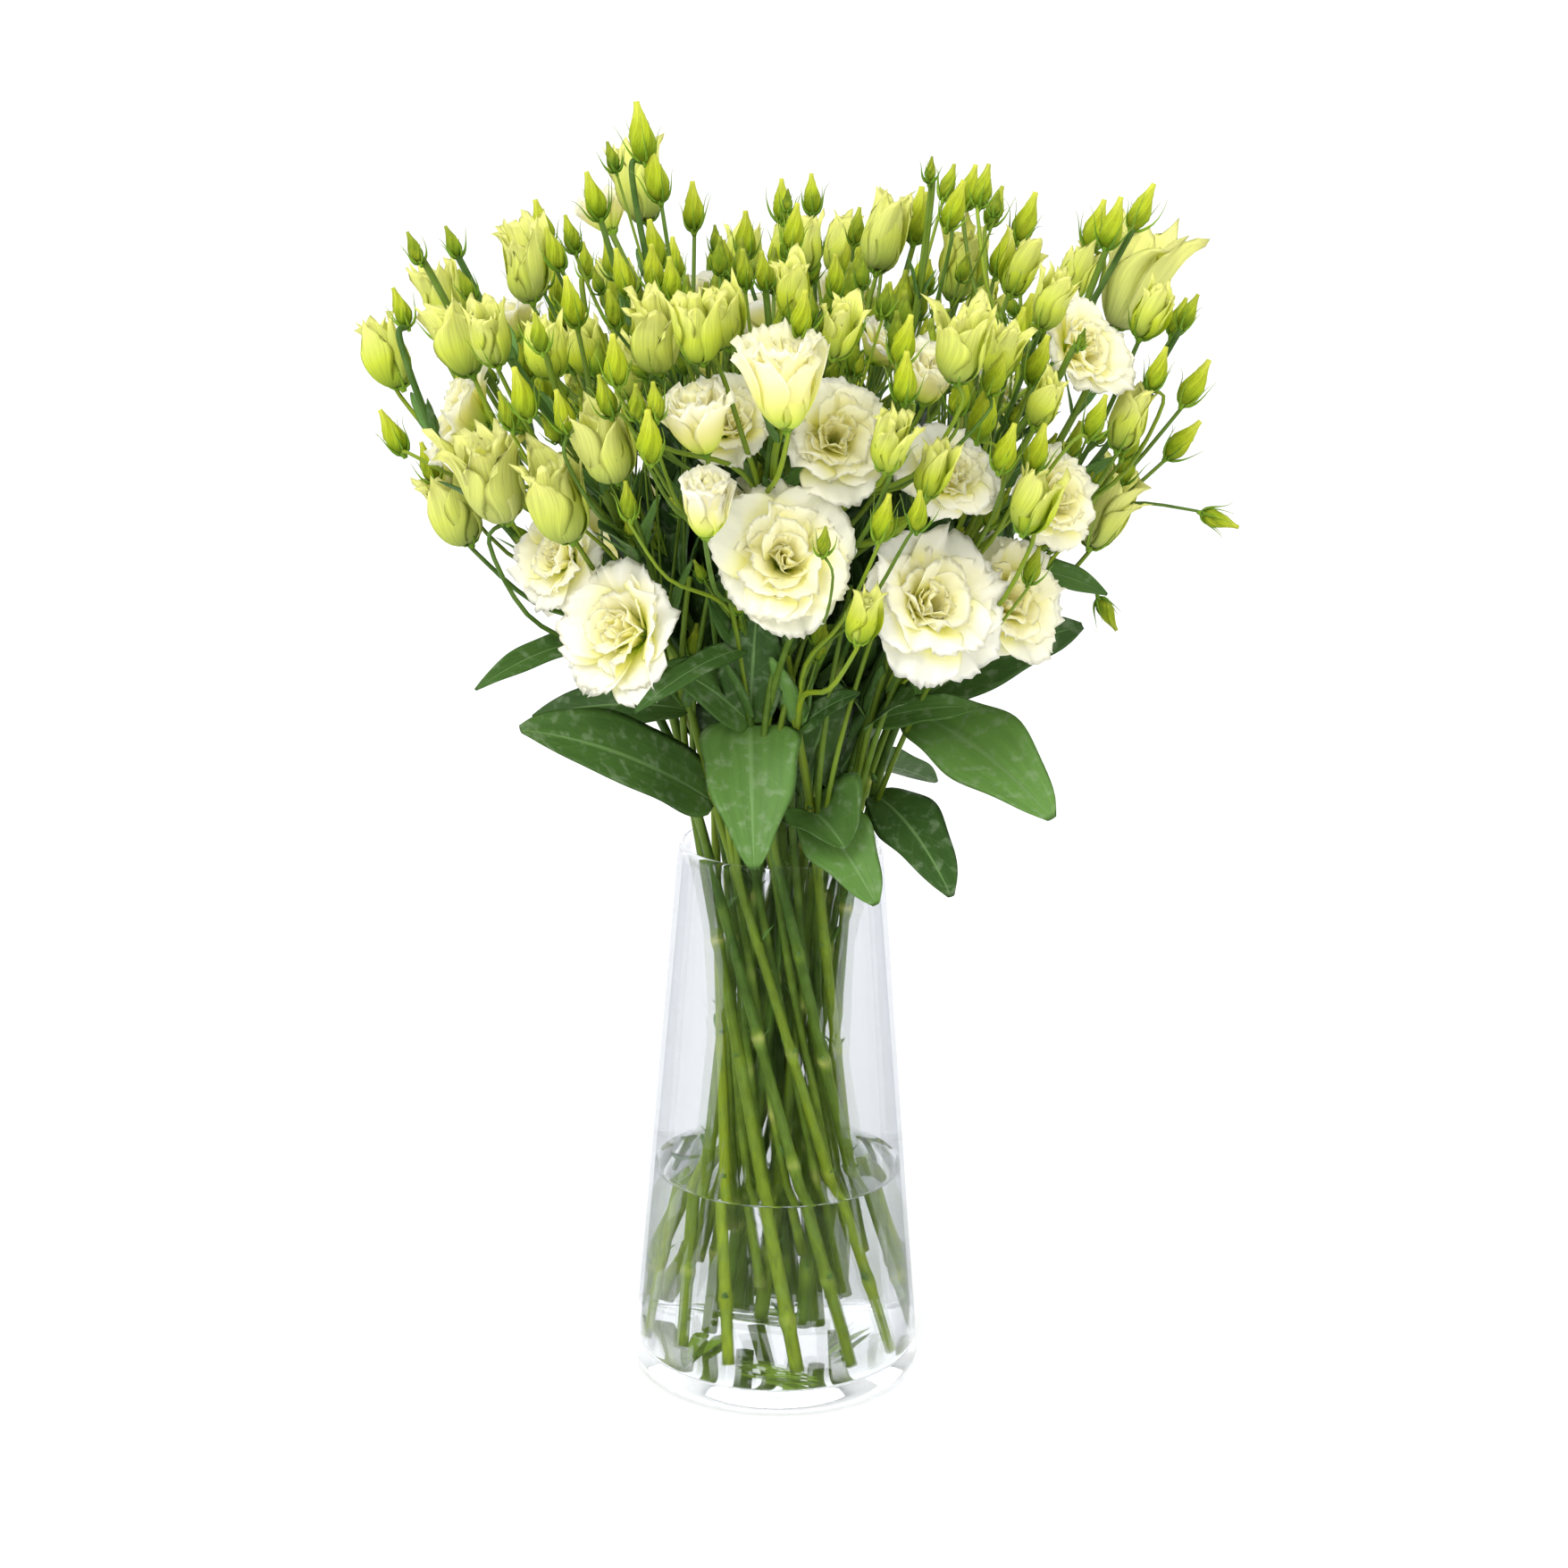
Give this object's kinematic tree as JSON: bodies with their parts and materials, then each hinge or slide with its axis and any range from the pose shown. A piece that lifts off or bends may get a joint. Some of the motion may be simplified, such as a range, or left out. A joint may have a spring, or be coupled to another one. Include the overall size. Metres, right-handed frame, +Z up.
{
  "type": "lisianthus bouquet in a glass vase",
  "caption": "Large bouquet of cream double lisianthus, with half-open flowers, buds and leaves, standing in a tapered clear glass vase with water.",
  "frame": {"origin": "centre of the vase's flat base, on the surface that it stands on", "axes": "+Z up along the vase's axis, -Y the side that faces the viewer"},
  "size_m": [0.4637, 0.3889, 0.6851],
  "materials": {
    "glass": "clear and polished",
    "water": "clear, still water",
    "greenery": "satin green stems, leaves and buds",
    "petals": "matt, soft cream petals"
  },
  "bodies": {
    "root": {"bloom_01": "petals", "bloom_02": "petals", "bloom_03": "petals", "bloom_04": "petals", "bloom_05": "petals", "bloom_06": "petals", "bloom_07": "petals", "bloom_08": "petals", "bloom_09": "petals", "bloom_10": "petals", "bloom_11": "petals", "bloom_12": "petals", "bloom_13": "petals", "bloom_14": "petals", "bloom_15": "petals", "bloom_16": "petals", "bloom_17": "petals", "bloom_18": "petals", "bloom_19": "petals", "bloom_20": "petals", "bloom_21": "petals", "bloom_22": "petals", "bloom_23": "petals", "bloom_24": "petals", "bloom_25": "petals", "bloom_26": "petals", "bloom_27": "petals", "bloom_28": "petals", "bloom_29": "petals", "bloom_30": "petals", "bloom_31": "petals", "bloom_32": "petals", "spray_01": "greenery", "spray_02": "greenery", "spray_03": "greenery", "spray_04": "greenery", "spray_05": "greenery", "spray_06": "greenery", "spray_07": "greenery", "spray_08": "greenery", "spray_09": "greenery", "spray_10": "greenery", "spray_11": "greenery", "spray_12": "greenery", "spray_13": "greenery", "spray_14": "greenery", "spray_15": "greenery", "spray_16": "greenery", "spray_17": "greenery", "spray_18": "greenery", "spray_19": "greenery", "spray_20": "greenery", "spray_21": "greenery", "spray_22": "greenery", "spray_23": "greenery", "spray_24": "greenery", "spray_25": "greenery", "vase": "glass", "water": "water"}
  },
  "joints": []
}
